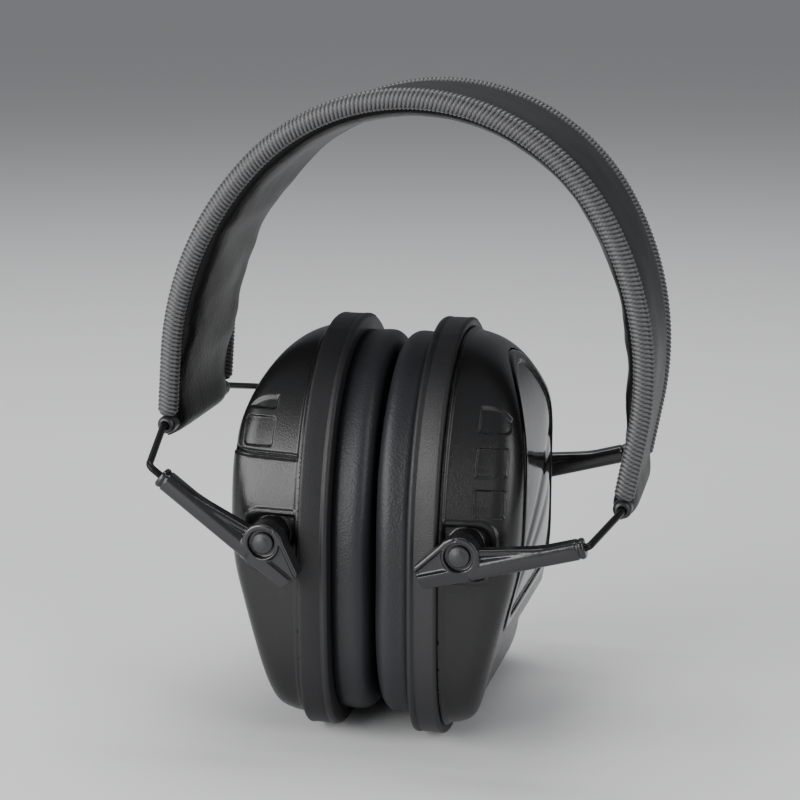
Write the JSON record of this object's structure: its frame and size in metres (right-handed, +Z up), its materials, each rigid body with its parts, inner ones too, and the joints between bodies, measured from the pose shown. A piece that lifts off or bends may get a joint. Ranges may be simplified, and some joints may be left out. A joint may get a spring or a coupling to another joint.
{
  "type": "folding earmuff hearing protector",
  "caption": "Folding passive earmuffs: two padded ear cups on wire bails and pivot arms under a padded spring headband with ribbed edge piping.",
  "frame": {"origin": "on the standing plane, midway between the two cups' feet, front to rear centred on the pivot pins' span", "axes": "+X from the wearer's one ear to the other (viewer's right), -Y towards the front, +Z up"},
  "size_m": [0.1335, 0.102, 0.171],
  "materials": {
    "shell_plastic": "satin black moulded plastic with a fine grain",
    "cover_plastic": "glossy black moulded plastic",
    "rim_plastic": "matte black plastic with a fine leather-like grain",
    "ring_plastic": "plain black plastic",
    "liner_foam": "dark open-cell sound-absorbing foam",
    "cushion_leather": "smooth matte blue-black artificial leather",
    "pin_plastic": "satin black, domed head",
    "arm_plastic": "glossy black plastic with moulded ridges",
    "bail_steel": "black gloss coated steel wire",
    "bracket_plastic": "satin black plastic",
    "rivet_steel": "plain steel",
    "strip_steel": "spring steel",
    "pad_foam": "soft dark foam",
    "sleeve_leather": "black artificial leather with soft creases",
    "piping_trim": "black ribbed edge piping, grey on the crests"
  },
  "bodies": {
    "right_band": {"right_band_bracket": "bracket_plastic", "right_bracket_rivets": "rivet_steel", "right_spring_strip": "strip_steel", "right_headband_pad": "pad_foam", "right_headband_sleeve": "sleeve_leather", "right_front_piping": "piping_trim", "right_rear_piping": "piping_trim"},
    "left_band": {"left_band_bracket": "bracket_plastic", "left_bracket_rivets": "rivet_steel", "left_spring_strip": "strip_steel", "left_headband_pad": "pad_foam", "left_headband_sleeve": "sleeve_leather", "left_front_piping": "piping_trim", "left_rear_piping": "piping_trim"},
    "left_bail": {"left_wire_bail": "bail_steel"},
    "left_arms": {"left_front_arm": "arm_plastic", "left_rear_arm": "arm_plastic"},
    "left_cup": {"left_cup_shell": "shell_plastic", "left_outer_cover": "cover_plastic", "left_cup_rim": "rim_plastic", "left_seat_ring": "ring_plastic", "left_foam_liner": "liner_foam", "left_ear_cushion": "cushion_leather", "left_pivot_pins": "pin_plastic"},
    "right_bail": {"right_wire_bail": "bail_steel"},
    "right_arms": {"right_front_arm": "arm_plastic", "right_rear_arm": "arm_plastic"},
    "right_cup": {"right_cup_shell": "shell_plastic", "right_outer_cover": "cover_plastic", "right_cup_rim": "rim_plastic", "right_seat_ring": "ring_plastic", "right_foam_liner": "liner_foam", "right_ear_cushion": "cushion_leather", "right_pivot_pins": "pin_plastic"}
  },
  "joints": [
    {"name": "headband_spread", "type": "hinge", "parent": "right_band", "child": "left_band", "pos_m": [0.01401, 0, 0.1706], "axis": [0, 1, 0], "range_deg": [0, 22], "stiffness_Nm_per_rad": 4},
    {"name": "left_fold", "type": "hinge", "parent": "left_band", "child": "left_bail", "pos_m": [-0.06001, 0, 0.08044], "axis": [0, 1, 0], "range_deg": [-66, 36], "deforming": ["left_ear_cushion"]},
    {"name": "left_size", "type": "slide", "parent": "left_bail", "child": "left_arms", "axis": [0.7923, 0, -0.6101], "range_m": [0, 0.016]},
    {"name": "left_cup_pivot", "type": "hinge", "parent": "left_arms", "child": "left_cup", "pos_m": [-0.0255, 0, 0.0574], "axis": [0, 1, 0], "range_deg": [-36, 66]},
    {"name": "right_fold", "type": "hinge", "parent": "right_band", "child": "right_bail", "pos_m": [0.06309, 0, 0.06478], "axis": [0, -1, 0], "range_deg": [-70, 56], "deforming": ["right_ear_cushion"]},
    {"name": "right_size", "type": "slide", "parent": "right_bail", "child": "right_arms", "axis": [-0.9646, 0, -0.2639], "range_m": [0, 0.016]},
    {"name": "right_cup_pivot", "type": "hinge", "parent": "right_arms", "child": "right_cup", "pos_m": [0.0255, 0, 0.0574], "axis": [0, -1, 0], "range_deg": [-56, 70]}
  ],
  "couplings": [
    {"joint": "left_cup_pivot", "follows": "left_fold", "ratio": -1},
    {"joint": "right_cup_pivot", "follows": "right_fold", "ratio": -1}
  ]
}
